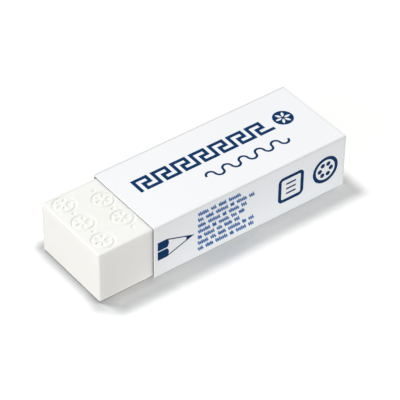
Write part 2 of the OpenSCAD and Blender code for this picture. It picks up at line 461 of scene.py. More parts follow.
def ink_material(name, tones):
    """Printing ink: a thin satin film whose tone is slightly mottled where the board takes
    it up unevenly."""
    material, tree, shader, place = new_material(name)
    grain = use_group(tree, GRAIN, [("Vector", place), ("Grain", 9000.0), ("Drift", 900.0)])
    feed(tree, shader, [
        ("Base Color", blend_colours(tree, grain["Tone"], *tones)),
        ("Roughness", spread(tree, grain["Height"], *GRAIN_HEIGHTS, 0.4, 0.55)),
        ("Specular IOR Level", 0.02),
    ])
    roughen(tree, shader, grain["Height"], depth=0.01, strength=0.25)
    return material


WHITE_VINYL = vinyl_material()
COATED_CARD = coated_card_material()
# the inside of the sleeve: painted shade for the gap between card and block
SHADED_INNER_CARD = plain_card_material("card_back_painted_shade", INNER_SHADE_TONES, depth=0.03)
# the cut edge: painted shade at the far end and a painted highlight where the mouth is cut
CARD_EDGE = plain_card_material("card_cut_edge", CUT_TONES, depth=0.04, far_shade=CUT_FAR_SHADE, mouth_highlight=1.0)
NAVY_INK = ink_material("navy_ink", NAVY_TONES)
SMALL_PRINT_INK = ink_material("small_print_ink", SMALL_PRINT_TONES)

# ---------------------------------------------------------------- mesh helpers

# points closer than this fall together, and what counts as nothing
WELD = 2e-5
TINY = 1e-6
# a bend sharper than this isn't smoothed over
CREASE = math.radians(35)


def welded(points, quads):
    """Points that fall together become one. Also gives which of the old points is kept."""
    keys = np.round(points / WELD).astype(np.int64)
    _, first, same = np.unique(keys, axis=0, return_index=True, return_inverse=True)
    return points[first], same.reshape(-1)[quads], first


def put_mesh(name, points, quads, materials, slots=None):
    """Mesh object from points in mm and quads. A quad with a doubled corner becomes a
    triangle, and one with two doubled corners is left out."""
    keep = quads != np.roll(quads, -1, axis=1)
    corners = keep.sum(axis=1)
    real = corners > 2
    keep &= real[:, None]
    loops = quads[keep]
    counts = corners[real]
    starts = np.concatenate(([0], np.cumsum(counts)[:-1]))
    mesh = bpy.data.meshes.new(name)
    mesh.vertices.add(len(points))
    mesh.vertices.foreach_set("co", (points * MM).astype(np.float32).ravel())
    mesh.loops.add(len(loops))
    mesh.loops.foreach_set("vertex_index", loops.astype(np.int32))
    mesh.polygons.add(len(counts))
    mesh.polygons.foreach_set("loop_start", starts.astype(np.int32))
    for material in materials:
        mesh.materials.append(material)
    if slots is not None:
        mesh.polygons.foreach_set("material_index", slots[real].astype(np.int32))
    mesh.update(calc_edges=True)
    mesh.validate()
    mesh.shade_smooth()
    mesh.set_sharp_from_angle(angle=CREASE)
    return new_object(name, mesh)


def grid_quads(rows, columns, around=False):
    """Corner numbers of a grid's quads, row by row; around joins the last column to the first."""
    start = np.arange(rows * columns).reshape(rows, columns)
    beside = np.roll(start, -1, axis=1)
    last = columns if around else columns - 1
    return np.stack([start[:-1, :last], beside[:-1, :last],
                     beside[1:, :last], start[1:, :last]], axis=-1).reshape(-1, 4)


def steps(start, end, pitch):
    """Even stations from start to end, at most pitch apart."""
    return np.linspace(start, end, max(2, math.ceil((end - start) / pitch) + 1))


def graded(start, end, count, ease=0.6):
    """Stations from start to end that lie closer together towards both ends."""
    even = np.linspace(0, 1, count)
    eased = (1 - np.cos(even * math.pi)) / 2
    return start + (end - start) * (even * (1 - ease) + eased * ease)


def run(y, z, way):
    """Straight run of a section: its points, with one direction at them all."""
    y, z = np.broadcast_arrays(y, z)
    return np.stack([y, z], axis=1), np.tile(way, (len(y), 1))


def bend(y, z, start, radius, count):
    """Quarter circle of a section: its points, with the direction outwards at each."""
    turn = start + np.linspace(0, QUARTER, count)
    way = np.stack([np.cos(turn), np.sin(turn)], axis=1)
    return (y, z) + radius * way, way


def joined(pieces):
    """Points and directions of a whole section."""
    return tuple(np.concatenate(part) for part in zip(*pieces))


def crown(value, middle, half):
    """Parabola over a width: one in the middle and nothing at both sides."""
    return np.clip(1 - ((value - middle) / half) ** 2, 0, 1)


# ---------------------------------------------------------------- vinyl block

# the grooves' shoulders, and the faint lip beside them
GROOVE_SOFTNESS = 0.22
LIP_HEIGHT = 0.02
LIP_PLACE = 0.24
LIP_WIDTH = 0.13
# how deep the faces sink, and how far from the ends they come to it
FACE_SINK = 0.04
SINK_START = 6
# how far the painted highlight of the edges and the painted shade of the back edges reach,
# and the strength of the painted shade on those across the ends
HIGHLIGHT_REACH = 0.55
BACK_SHADE_REACH = 0.95
END_EDGE_SHADE = -0.3
# pitch of the grid over the pattern: across, along the bare end, and along the rest,
# which starts a little past the mouth
ACROSS_PITCH, BARE_PITCH, COVERED_PITCH = 0.14, 0.11, 0.21
PAST_MOUTH = 1
# points up a side, across the underside and round an edge
SIDE_POINTS, BOTTOM_POINTS, EDGE_POINTS = 14, 18, 7
# shares of the end face that its rings of points lie at
CAP_SHARES = np.array([0, 0.3, 0.6, 0.8, 0.92, 0.97])
# the distance where no line is near, and the share that counts as a full one
NOWHERE_NEAR = 9.0
NEARLY_ONE = 0.999


def pattern_distance(x, y):
    """Distance from each point to the nearest edge of the moulded pattern, less than zero
    inside a line. The plane is folded onto one rosette: x to the nearest column and y to
    the nearest row, with every second column dropped by half a row, and only whole
    rosettes that the flat of the face has room for are kept. The ring is the
    distance to its middle circle less half its line; a petal is where two equal circles
    overlap, with the angle folded onto one sixth of a turn; a pit is a small circle."""
    columns = math.floor((block_l - first_column) / column_pitch)
    column = np.clip(np.round((x - first_column) / column_pitch), 0, columns)
    drop = (column % 2) / 2
    across = x - first_column - column * column_pitch
    row = np.round(y / row_pitch - drop)
    middle = (row + drop) * row_pitch
    along = y - middle
    out = np.hypot(across, along)
    ring = np.abs(out - (ring_d - ring_line) / 2) - ring_line / 2
    angle = np.arctan2(along, across)
    angle -= np.round(angle / SIXTH) * SIXTH
    u = out * np.cos(angle) - petal_foot - petal_l / 2
    v = np.abs(out * np.sin(angle)) + petal_r - petal_w / 2
    petal = np.hypot(u, v) - petal_r
    flat_y, flat_x = block_w / 2 - block_edge_r, block_l - block_edge_r
    column_x = first_column + column * column_pitch
    whole = (np.abs(middle) + ring_d / 2 < flat_y) & (column_x + ring_d / 2 < flat_x)
    rosette = np.where(whole, np.minimum(ring, petal), NOWHERE_NEAR)
    between = (np.round(y / row_pitch - 0.5 + drop) + 0.5 - drop) * row_pitch
    pit = np.hypot(across, y - between) - pit_d / 2
    clear = (np.abs(between) + pit_d < flat_y) & (column_x + pit_d < flat_x)
    return np.minimum(rosette, np.where(clear, pit, NOWHERE_NEAR))


def relief(x, y):
    """Depth of the pattern at each point: full inside a line, easing to nothing over the
    groove's soft shoulder by a smooth step; and the height of the faint lip outside it, a
    bell curve over the distance."""
    away = pattern_distance(x, y)
    t = np.clip(0.5 - away / GROOVE_SOFTNESS, 0, 1)
    groove = relief_depth * t * t * (3 - 2 * t)
    lip = LIP_HEIGHT * np.exp(-((away - LIP_PLACE) / LIP_WIDTH) ** 2)
    return groove, lip


def block_section():
    """Core rectangle of the block's section and the outward direction at each point, going
    round from the bottom: each corner turns through a quarter circle of directions."""
    r = block_edge_r
    half, low, high = block_w / 2 - r, r, block_h - r
    side = graded(low, high, SIDE_POINTS)[1:-1]
    bottom = graded(-half, half, BOTTOM_POINTS)[1:-1]
    top = steps(-half, half, ACROSS_PITCH)[1:-1]
    return joined((
        run(bottom, low, (0, -1)),
        bend(half, low, -QUARTER, 0, EDGE_POINTS),
        run(half, side, (1, 0)),
        bend(half, high, 0, 0, EDGE_POINTS),
        run(-top, high, (0, 1)),
        bend(-half, high, QUARTER, 0, EDGE_POINTS),
        run(-half, side[::-1], (-1, 0)),
        bend(-half, low, math.pi, 0, EDGE_POINTS),
    ))


def block_rows():
    """Rows of the sweep along X as (station, rounding radius, share of the core): each end
    cap grows from its pole, its edge turns through a quarter circle, and the body follows."""
    r = block_edge_r
    turn = np.linspace(0, QUARTER, EDGE_POINTS)
    near = np.pad(r - r * np.cos(turn), (len(CAP_SHARES), 0))
    radius = np.pad(r * np.sin(turn), (len(CAP_SHARES), 0))
    share = np.concatenate([CAP_SHARES, np.ones(len(turn))])
    change = bare_l + PAST_MOUTH
    body = np.concatenate([steps(r, change, BARE_PITCH)[1:],
                           steps(change, block_l - r, COVERED_PITCH)[1:-1]])
    stations = np.concatenate([near, body, block_l - near[::-1]])
    radii = np.concatenate([radius, np.full(len(body), r), radius[::-1]])
    shares = np.concatenate([share, np.ones(len(body)), share[::-1]])
    return stations, radii, shares


def painted_edge_light(points):
    """How much each point is painted lighter or darker near an edge: one on a rounded edge,
    easing to nothing some way inside the faces, from the second smallest of a point's
    distances to the three nearest sides of the block's box. The largest of the three tells
    which way the edge runs. Above zero it gives a painted highlight; it is less than zero,
    a painted shade, on the edges that the back face meets and, weakly, on those across the ends."""
    gaps = np.stack([
        np.minimum(points[:, 0], block_l - points[:, 0]),
        block_w / 2 - np.abs(points[:, 1]),
        np.minimum(points[:, 2], block_h - points[:, 2]),
    ])
    second = np.sort(gaps, axis=0)[1]
    across = np.argmax(gaps, axis=0) == 1
    back = (points[:, 1] > 0) & ~across
    reach = np.where(back, BACK_SHADE_REACH, HIGHLIGHT_REACH)
    near = np.clip((reach - second) / (reach - block_edge_r / 2), 0, 1)
    return near * np.where(across, END_EDGE_SHADE, np.where(back, -1, 1))


def block_surface():
    """Rounded block as one surface over (station along X, place round the section). A point
    is the core point, scaled to the middle on the caps, plus the rounding radius along its
    outward direction. The faces sink a little towards their middles, as vinyl does when it
    cools, and the pattern's depth is taken off the top from above."""
    cores, ways = block_section()
    stations, radii, shares = (row[:, None] for row in block_rows())
    side_way, up_way = ways[:, 0], ways[:, 1]
    y = cores[:, 0] * shares + radii * side_way
    z = block_h / 2 + (cores[:, 1] - block_h / 2) * shares + radii * up_way
    x = np.broadcast_to(stations, y.shape)
    from_end = np.minimum(x, block_l - x)
    inwards = np.clip(from_end / SINK_START, 0, 1)
    across = crown(y, 0, block_w / 2 - block_edge_r)
    upright = crown(z, block_h / 2, block_h / 2 - block_edge_r)
    groove, lip = relief(x, y)
    # the pattern cuts down from the top's plane, and the lip stands on its flat alone
    top = up_way > NEARLY_ONE
    z = z - np.where(up_way > 0, np.maximum(groove - (block_h - z), 0), 0)
    z = z + np.where(top, (lip - FACE_SINK * across) * inwards, 0)
    y = y - side_way * (np.abs(side_way) > NEARLY_ONE) * FACE_SINK * upright * inwards
    # the two end faces sink along X
    cap = (from_end < TINY) & (shares < NEARLY_ONE)
    hollow = FACE_SINK * crown(y, 0, block_w / 2) * upright
    x = x + np.where(cap, np.sign(block_l / 2 - x) * hollow, 0)
    points = np.stack([x, y, z], axis=-1).reshape(-1, 3)
    # painted edge highlight (above zero) and painted edge shade (below zero)
    edge = painted_edge_light(points)
    points += (block_low[0], (block_low[1] + block_high[1]) / 2, block_low[2])
    points, quads, first = welded(points, grid_quads(len(stations), len(cores), around=True))
    return points, quads, edge[first]


def make_block():
    """The block, with each point's painted edge highlight or shade as an attribute."""
    points, quads, edge = block_surface()
    block = put_mesh("vinyl_block", points, quads[:, ::-1], [WHITE_VINYL])
    edges = block.data.attributes.new("edge", "FLOAT", "POINT")
    edges.data.foreach_set("value", edge.astype(np.float32))
    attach(block, "block")
    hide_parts("eraser_block")


make_block()

# ---------------------------------------------------------------- card sleeve

# how deep the panels bow in
PANEL_SINK = 0.06
# how far the knife draws the outer and the inner line together at a cut end
OUTER_BEVEL = 0.15
INNER_BEVEL = 0.05
# pitch of the grid along the sleeve
LENGTH_PITCH = 1.0
# what the glue keeps open at the lap, and how far its last inner corner leans in
GLUE_LINE = 0.01
LAP_LEAN = 0.1
# points across a wide panel, a narrow panel and the flap, round a fold and round a bevel
WIDE_POINTS, NARROW_POINTS, FLAP_POINTS, FOLD_POINTS, BEVEL_POINTS = 27, 15, 9, 9, 4
# how much closer together a panel's points lie towards its folds
PANEL_EASE = 0.8
# material slots of the card's faces
COAT, BACK, CUT = 0, 1, 2


def sink(value, middle, half):
    """How far a panel bows in: a parabola over its width, nothing at its folds."""
    return PANEL_SINK * crown(value, middle, half)


def card_section():
    """The card strip end on, as its outer line with the inward direction at each point:
    flap, fold, top, fold, printed side, fold, bottom, fold and back panel. Each fold is a
    quarter circle, and the back panel ends beside the first fold, just under the top."""
    side = sleeve_w / 2
    seam = side - card_t
    left, right, first = fold_outer_r - side, side - fold_outer_r, seam - fold_outer_r
    low, high = fold_outer_r, sleeve_h - fold_outer_r
    upright = graded(low, high, NARROW_POINTS, PANEL_EASE)[1:-1]
    flap = graded(sleeve_h - flap_h, high, FLAP_POINTS)[:-1]
    top = graded(left, first, WIDE_POINTS, PANEL_EASE)[-2:0:-1]
    top_sink = sink(top, panel_middle, (side + seam) / 2 - fold_outer_r)
    printed_sink = sink(upright, sleeve_h / 2, sleeve_h / 2 - fold_outer_r)
    bottom = graded(left, right, WIDE_POINTS, PANEL_EASE)[1:-1]
    back = np.concatenate([upright, [high, sleeve_h - seam_drop]])
    line, outwards = joined((
        run(seam - GLUE_LINE, flap, (1, 0)),
        bend(first, high, 0, fold_outer_r, FOLD_POINTS),
        run(top, sleeve_h - top_sink, (0, 1)),
        bend(left, high, QUARTER, fold_outer_r, FOLD_POINTS),
        run((printed_sink - side)[::-1], upright[::-1], (-1, 0)),
        bend(left, low, math.pi, fold_outer_r, FOLD_POINTS),
        run(bottom, 0, (0, -1)),
        bend(right, low, -QUARTER, fold_outer_r, FOLD_POINTS),
        run(side, back, (1, 0)),
    ))
    return line, -outwards


def sleeve_surface():
    """Card of even thickness as one closed slab over (place along the sleeve, place round
    the slab's own section). The section goes out along the outer line and back along the
    inner one. Towards each cut end both lines draw together by a quarter circle, the outer
    one more, as a knife leaves the board, and at the far end this bevel is bare board. At
    the lap the last inner corner leans in against the fold."""
    line, way = card_section()
    turn = np.linspace(QUARTER, 0, BEVEL_POINTS)
    near, pinch = OUTER_BEVEL * (1 - np.sin(turn)), 1 - np.cos(turn)
    middle = steps(2 * OUTER_BEVEL, sleeve_l - 2 * OUTER_BEVEL, LENGTH_PITCH)
    stations = np.concatenate([near, middle, sleeve_l - near[::-1]])
    pinches = np.concatenate([pinch, np.zeros(len(middle)), pinch[::-1]])[:, None, None]
    # the board's thickness at each point of the section
    thick = np.full(len(line), card_t)
    thick[line[:, 0] > sleeve_w / 2 - TINY] -= GLUE_LINE
    thick[-1] += LAP_LEAN
    outer = line + way * pinches * OUTER_BEVEL
    inner = line + way * (thick[:, None] - pinches * INNER_BEVEL)
    section = np.concatenate([outer, inner[:, ::-1]], axis=1)
    x = np.broadcast_to(stations[:, None, None], section.shape[:2] + (1,))
    points = np.concatenate([x, section], axis=2)
    # the two cut ends join the outer line to the inner one
    rows, columns = points.shape[:2]
    half = columns // 2
    out = np.arange(half - 1)
    cap = np.stack([out, out + 1, columns - 2 - out, columns - 1 - out], axis=1)
    quads = np.concatenate([grid_quads(rows, columns, around=True),
                            cap[:, ::-1], cap + (rows - 1) * columns])
    # coat outside, a back inside painted dark grey as shade, and bare board on the strip's two
    # long cut edges, on the far end's bevel and on both ends
    slots = np.full((rows - 1, columns), CUT)
    plain = rows - BEVEL_POINTS
    slots[:plain, :half - 1] = COAT
    slots[:plain, half:-1] = BACK
    slots = np.concatenate([slots.ravel(), np.full(2 * len(cap), CUT)])
    points = points.reshape(-1, 3) + (sleeve_low[0], (sleeve_low[1] + sleeve_high[1]) / 2, 0)
    return points, quads, slots


def make_sleeve():
    """The folded card, coated outside, and painted dark grey inside as shade."""
    points, quads, slots = sleeve_surface()
    sleeve = put_mesh("folded_sleeve", points, quads, [COATED_CARD, SHADED_INNER_CARD, CARD_EDGE], slots)
    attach(sleeve, "sleeve")
    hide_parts("card_sleeve")


make_sleeve()

# ---------------------------------------------------------------- flat shapes of the print

CIRCLE = np.linspace(0, FULL, 97)
# points round a half circle or along a petal, along a shallow arc, and round a corner
HALF_POINTS, ARC_POINTS, CORNER_POINTS = 17, 13, 7
# how much closer together a petal's points lie towards its ends
PETAL_EASE = 0.9
# pitch of the grid on the disc's rim, a painted face (as a share of it), the pencil's
# outline, its point and a ruled line
RIM_PITCH, FACE_PITCH, OUTLINE_PITCH, TIP_PITCH, RULE_PITCH = 0.12, 0.1, 0.5, 0.2, 1
# the squiggles that stand for words: length and line of a hump, what picks the tall ones,
# how much taller they are, and the points along one
SQUIGGLE_PITCH = 0.46
SQUIGGLE_LINE = 0.2
HUMP_TURN, ROW_TURN, TALL_FROM = 2.4, 1.7, 0.45
TALL_GAIN = 0.45
HUMP_POINTS = 10
# the ring sign's dots: how far out they lie and their radius, as shares of its diameter
DOTS_OUT, DOT_R = 1 / 4.5, 1 / 12


def ribbon(path, width, closed=False):
    """Strip of even width along a flat path. Each path point moves half the width to both
    sides along the mitre of its two legs: the sum of their normals over one plus their
    dot product."""
    path = np.asarray(path, float)
    legs = np.roll(path, -1, axis=0) - path if closed else np.diff(path, axis=0)
    legs /= np.linalg.norm(legs, axis=1, keepdims=True)
    if closed:
        before, after = np.roll(legs, 1, axis=0), legs
    else:
        before, after = np.concatenate([legs[:1], legs]), np.concatenate([legs, legs[-1:]])
    both = before + after
    left = np.stack([-both[:, 1], both[:, 0]], axis=1)
    left /= 1 + (before * after).sum(axis=1, keepdims=True)
    pair = np.stack([path + left * width / 2, path - left * width / 2], axis=1)
    if closed:
        pair = np.concatenate([pair, pair[:1]])
    return pair.reshape(-1, 2), grid_quads(len(pair), 2)


def patch(x, y):
    """Flat surface over a grid of x and y."""
    x, y = np.broadcast_arrays(x, y)
    return np.stack([x, y], axis=-1).reshape(-1, 2), grid_quads(*x.shape)


def polar(radii, angles, middle):
    """Part of a disc: radii along one way of the grid and angles along the other."""
    radii = np.reshape(radii, (len(radii), -1))
    return patch(middle[0] + radii * np.cos(angles), middle[1] + radii * np.sin(angles))


def key_band():
    """Running key as one line: for each unit up, right, down, left, down and right along
    the middle of its line, on a grid of the line's own width, five widths high."""
    s = key_line
    half_h = 2.5 * s
    unit = np.array([(0.5, 0.5), (0.5, 4.5), (4.5, 4.5), (4.5, 2.5), (2.5, 2.5), (2.5, 0.5)]) * s
    shifts = np.arange(key_count)[:, None, None] * np.array([key_unit, 0.0])
    path = (unit + shifts).reshape(-1, 2)
    path[0, 1] = 0
    path = np.concatenate([path, [[key_count * key_unit + s, s / 2]]])
    return [ribbon(path + (band_x, band_y - half_h), s)]


def rosette_disc():
    """Solid disc with six petals left clear. Between two petals the disc is a grid: along
    one way the distance from the middle, along the other the angle from the upper edge of
    one petal to the lower edge of the next."""
    radius = disc_d / 2
    along = graded(0, petal_l, HALF_POINTS, PETAL_EASE)
    height = np.sqrt(petal_r ** 2 - (along - petal_l / 2) ** 2) - (petal_r - petal_w / 2)
    rim = steps(petal_foot + petal_l, radius, RIM_PITCH)[1:]
    out = np.concatenate([[0, petal_foot / 2], petal_foot + along, rim])
    edge = np.concatenate([[0, 0], np.maximum(height, 0), np.zeros(len(rim))])
    far = np.hypot(out, edge)[:, None]
    tilt = np.arctan2(edge, np.maximum(out, TINY))[:, None]
    middle = (band_x + band_l + disc_gap + radius, band_y)
    between = tilt + (SIXTH - 2 * tilt) * np.linspace(0, 1, ARC_POINTS)
    return [polar(far, sixth * SIXTH + between, middle) for sixth in range(6)]


def wavy_line():
    """Wavy line of half circles, turned up and down in turn, run back from the band's end."""
    halves = np.arange(1, 2 * wave_count + 1)
    turn = np.linspace(0, math.pi, HALF_POINTS)[:-1]
    middle = (1 - 2 * halves)[:, None] * wave_r
    up = np.where(halves % 2 == 1, -1, 1)[:, None]
    x = middle + wave_r * np.cos(turn)
    y = up * wave_r * np.sin(turn)
    path = np.stack([x, y], axis=-1).reshape(-1, 2)
    path = np.concatenate([path, [[-4 * wave_count * wave_r, 0]]])
    return [ribbon(path + (band_x + band_l, -wave_y), wave_line)]


def pencil_picture():
    """Pencil in profile. Each painted face is a strip whose front end is a shallow arc; the
    cone's two outlines run from the faces' outer corners to the lead, one line wide; the
    lead fills the taper from a round scoop, the size of the clear space there, to the tip."""
    half = pencil_h / 2
    face = half - fine_line / 2
    foot = barrel_l - scallop
    tip = barrel_l + cone_l
    clear_l = tip - lead_l
    slope = half / (tip - foot)
    share = np.linspace(-1, 1, ARC_POINTS)
    bulge_r = (face ** 2 / 4 + scallop ** 2) / (2 * scallop)
    bulge = np.sqrt(bulge_r ** 2 - (share * face / 2) ** 2) - bulge_r + scallop
    x = steps(0, 1, FACE_PITCH)[:, None] * (foot + bulge) + pencil_x
    parts = [patch(x, low + face / 2 * (1 + share)) for low in (-half, fine_line / 2)]
    shaft = steps(foot, clear_l, OUTLINE_PITCH)[:, None]
    outline = np.concatenate([slope * (tip - shaft) - fine_line, slope * (tip - shaft)], axis=1)
    parts += [patch(shaft + pencil_x, outline * sign) for sign in (1, -1)]
    clear_r = slope * lead_l - fine_line
    turn = np.linspace(0, QUARTER, CORNER_POINTS)[:, None]
    scoop_x = clear_l + clear_r * np.sin(turn)
    scoop_y = np.concatenate([clear_r * np.cos(turn), slope * (tip - scoop_x)], axis=1)
    parts += [patch(scoop_x + pencil_x, scoop_y * sign) for sign in (1, -1)]
    point_x = steps(scoop_x[-1, 0], tip, TIP_PITCH)[:, None]
    parts.append(patch(point_x + pencil_x, slope * (tip - point_x) * np.linspace(-1, 1, 3)))
    return parts


def row_bars():
    """Places and lengths of the word bars: in each row the bars take their lengths in turn
    and the last one ends with the row."""
    bars = []
    for row in range(row_count):
        end, x, turn = rows_l * row_fill[row], 0.0, row
        while x + bar_h < end:
            length = min(bar_lengths[turn % len(bar_lengths)], end - x)
            bars.append((row, x, length))
            x, turn = x + length + bar_gap, turn + 1
    return bars


def word_rows():
    """Rows of small squiggles that stand for words without being letters: each is a sine
    wave of one pitch whose crests are higher on some humps than on others."""
    parts = []
    reach = (bar_h - SQUIGGLE_LINE) / 2
    for row, start, length in row_bars():
        humps = max(1, round(length / SQUIGGLE_PITCH))
        t = np.linspace(0, humps, humps * HUMP_POINTS + 1)
        x = start + SQUIGGLE_LINE / 2 + t / humps * (length - SQUIGGLE_LINE)
        pick = np.sin(np.floor(t) * HUMP_TURN + row * ROW_TURN + start)
        tall = 1 + TALL_GAIN * (pick > TALL_FROM)
        crest = np.sin(FULL * t)
        y = reach * np.where(crest > 0, crest * tall, crest)
        y += ((row_count - 1) / 2 - row) * row_step
        parts.append(ribbon(np.stack([x + rows_x, y], axis=1), SQUIGGLE_LINE))
    return parts


def sheet_sign():
    """Upright sheet: a square outline with quarter-circle corners and three lines on it."""
    r = sign_line
    core = sheet_w / 2 - sign_line / 2 - r
    outline, _ = joined(
        bend(sheet_x + side * core, up * core, number * QUARTER, r, CORNER_POINTS)
        for number, (side, up) in enumerate(((1, 1), (-1, 1), (-1, -1), (1, -1))))
    parts = [ribbon(outline, sign_line, closed=True)]
    rule_l, rule_w = sheet_w / 2 - sign_line, sign_line / 2
    left = sheet_x - rule_l / 2
    along = steps(left, left + rule_l, RULE_PITCH)[:, None]
    for line in (-1, 0, 1):
        low = line * rule_l / 2 - rule_w / 2
        parts.append(patch(along, [low, low + rule_w]))
    return parts


def ring_sign():
    """Ring round six dots."""
    outer = sign_ring_d / 2
    parts = [polar((outer - sign_line, outer), CIRCLE, (ring_sign_x, 0))]
    out, r = sign_ring_d * DOTS_OUT, sign_ring_d * DOT_R
    for sixth in range(6):
        angle = sixth * SIXTH
        middle = (ring_sign_x + out * math.cos(angle), out * math.sin(angle))
        parts.append(polar((0, r / 2, r), CIRCLE[::4], middle))
    return parts


# ---------------------------------------------------------------- ink films on the card

# how far a film's underside lies inside the card
INK_BITE = 0.01


def on_wide_panel(flat, lift):
    """Flat place on the wide panel, lifted off the card's bowed surface."""
    half = sleeve_w / 2 - card_t / 2 - fold_outer_r
    z = sleeve_h - sink(flat[:, 1] + panel_middle, panel_middle, half) + lift
    return np.stack([sleeve_low[0] + flat[:, 0], flat[:, 1] + panel_middle, z], axis=1)


def on_narrow_side(flat, lift):
    """Flat place on the printed narrow side, lifted off the card's bowed surface."""
    z = sleeve_h / 2 + flat[:, 1]
    y = sleeve_low[1] + sink(z, sleeve_h / 2, sleeve_h / 2 - fold_outer_r) - lift
    return np.stack([sleeve_low[0] + flat[:, 0], y, z], axis=1)


def ink_film(name, parts, panel, ink):
    """Closed film from flat parts. Its quads are turned to face outwards; the same quads lie
    just inside the card, turned over; and each edge that only one quad has gets a wall."""
    counts = np.cumsum([0] + [len(p) for p, _ in parts])
    flat = np.concatenate([p for p, _ in parts])
    quads = np.concatenate([q + start for (_, q), start in zip(parts, counts)])
    flat, quads, _ = welded(flat, quads)
    # twice the area of each quad, less than zero where it faces the wrong way
    a, b, c, d = (flat[quads[:, i]] for i in range(4))
    area = (c[:, 0] - a[:, 0]) * (d[:, 1] - b[:, 1]) - (d[:, 0] - b[:, 0]) * (c[:, 1] - a[:, 1])
    quads = np.where(area[:, None] < 0, quads[:, ::-1], quads)[np.abs(area) > TINY]
    edges = np.stack([quads, np.roll(quads, -1, axis=1)], axis=-1).reshape(-1, 2)
    edges = edges[edges[:, 0] != edges[:, 1]]
    # one number for each edge, whichever way it runs
    code = np.sort(edges, axis=1) @ (len(flat), 1)
    _, number, times = np.unique(code, return_inverse=True, return_counts=True)
    rim = edges[times[number.reshape(-1)] == 1]
    count = len(flat)
    walls = np.stack([rim[:, 1], rim[:, 0], rim[:, 0] + count, rim[:, 1] + count], axis=1)
    points = np.concatenate([panel(flat, ink_t), panel(flat, -INK_BITE)])
    film = put_mesh(name, points, np.concatenate([quads, quads[:, ::-1] + count, walls]), [ink])
    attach(film, "sleeve")
    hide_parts("sleeve_print")


for film_name, shape, panel, ink in (
    ("key_band", key_band, on_wide_panel, NAVY_INK),
    ("rosette_disc", rosette_disc, on_wide_panel, NAVY_INK),
    ("wavy_line", wavy_line, on_wide_panel, NAVY_INK),
    ("pencil_picture", pencil_picture, on_narrow_side, NAVY_INK),
    ("word_rows", word_rows, on_narrow_side, SMALL_PRINT_INK),
    ("sheet_sign", sheet_sign, on_narrow_side, NAVY_INK),
    ("ring_sign", ring_sign, on_narrow_side, NAVY_INK),
):
    ink_film(film_name, shape(), panel, ink)

# ---------------------------------------------------------------- table and light

# half the table, in metres; its colour beside the vinyl and beside the card, a painted
# tint of its shade, and the stretch past the mouth over which one turns to the other
TABLE_HALF = 3.0
BLOCK_TABLE, SLEEVE_TABLE = (0.975, 0.991, 0.993, 1.0), (0.972, 0.977, 0.963, 1.0)
TINT_REACH = (-4, 6)
# its own glow near the middle and far from it, and how far out each holds
NEAR_GLOW, FAR_GLOW = 0.045, 0.14
GLOW_REACH = (28, 70)
# more glow in front of the sleeve: growing from this X to the far end, gone between these Y
FAR_GAIN = 0.045
GAIN_FROM, GAIN_GONE = -8, (-9, -2)
# contact shade: its reach, then the powers beyond the bare end, in front of the block and
# along the sleeve, what is left of that past the far end, and the boost at the near corner
CONTACT_REACH = 3.6
CONTACT_SAMPLES = 8
END_CONTACT, FRONT_CONTACT, SLEEVE_CONTACT = 1.3, 0.62, 0.33
FAR_CONTACT = 0.2
CORNER_CONTACT, CORNER_REACH = 1.45, 4.5
# stretches over which they change: past the bare end, past the mouth, past the far end
END_CHANGE, MOUTH_CHANGE, FAR_CHANGE = (-0.3, 0.7), (-1, 2), (-4, 0)
# darker strokes on the table: middle, turn, half length, depth, full within and gone at
SHADE_STROKES = (
    ((-32.1, -13.25), -44.2, 2.5, 0.23, 0.4, 2.6),
    ((-22.7, -15.3), 0.0, 4.8, 0.18, 0.4, 2.6),
    ((-32.0, 11.5), 45.0, 0.5, 0.42, 0.0, 2.3),
)
# light off the table: its level in the pool and elsewhere, the pool's middle, half length,
# full within and gone at, the gain beyond the bare end, and its colour beside each piece
POOL_LEVEL, TABLE_LEVEL = 1.38, 0.878
POOL_MIDDLE, POOL_HALF = (8.5, -13.0), 18.5
POOL_REACH = (2, 26)
BEYOND_END_BOUNCE, BOUNCE_CHANGE = 1.08, (-1, 1)
VINYL_BOUNCE, CARD_BOUNCE = (0.95, 0.924, 0.911, 1.0), (0.985, 0.992, 1.0, 1.0)
# how much the sleeve's foot takes from it, and the occlusion over which that fades
FOOT_DIM, FOOT_SHADE = 0.7, (0.3, 0.6)
# the dome and the two lamps; ways and sizes of the lamps are in metres
DOME_LEVEL = 0.393
KEY_LEVEL = 0.576
KEY_WAY = (-2.7, 5.45, 13.8)
KEY_ANGLE = 14
SIDE_SIZE = 0.1
SIDE_PLACE = (-0.17, -0.04, 0.066)
SIDE_POWER = 0.070


def line_distance(tree, place, middle, turn, half):
    """Distance from a straight line on the table: the place is moved to the line's middle
    and turned along it, and its reach past the line's half length counts."""
    middle = (middle[0] * MM, middle[1] * MM, 0.0)
    moved = put(tree, "ShaderNodeVectorMath", [(0, place), (1, middle)], operation="SUBTRACT")
    turned = put(tree, "ShaderNodeVectorRotate",
                 [("Vector", moved.outputs[0]), ("Angle", -math.radians(turn))])
    axes = axes_of(tree, turned.outputs[0])
    past = maths(tree, "SUBTRACT", maths(tree, "ABSOLUTE", axes[0]), half * MM)
    along = maths(tree, "MAXIMUM", past, 0.0)
    flat = put(tree, "ShaderNodeCombineXYZ", [(0, along), (1, axes[1])]).outputs[0]
    return distance(tree, flat)


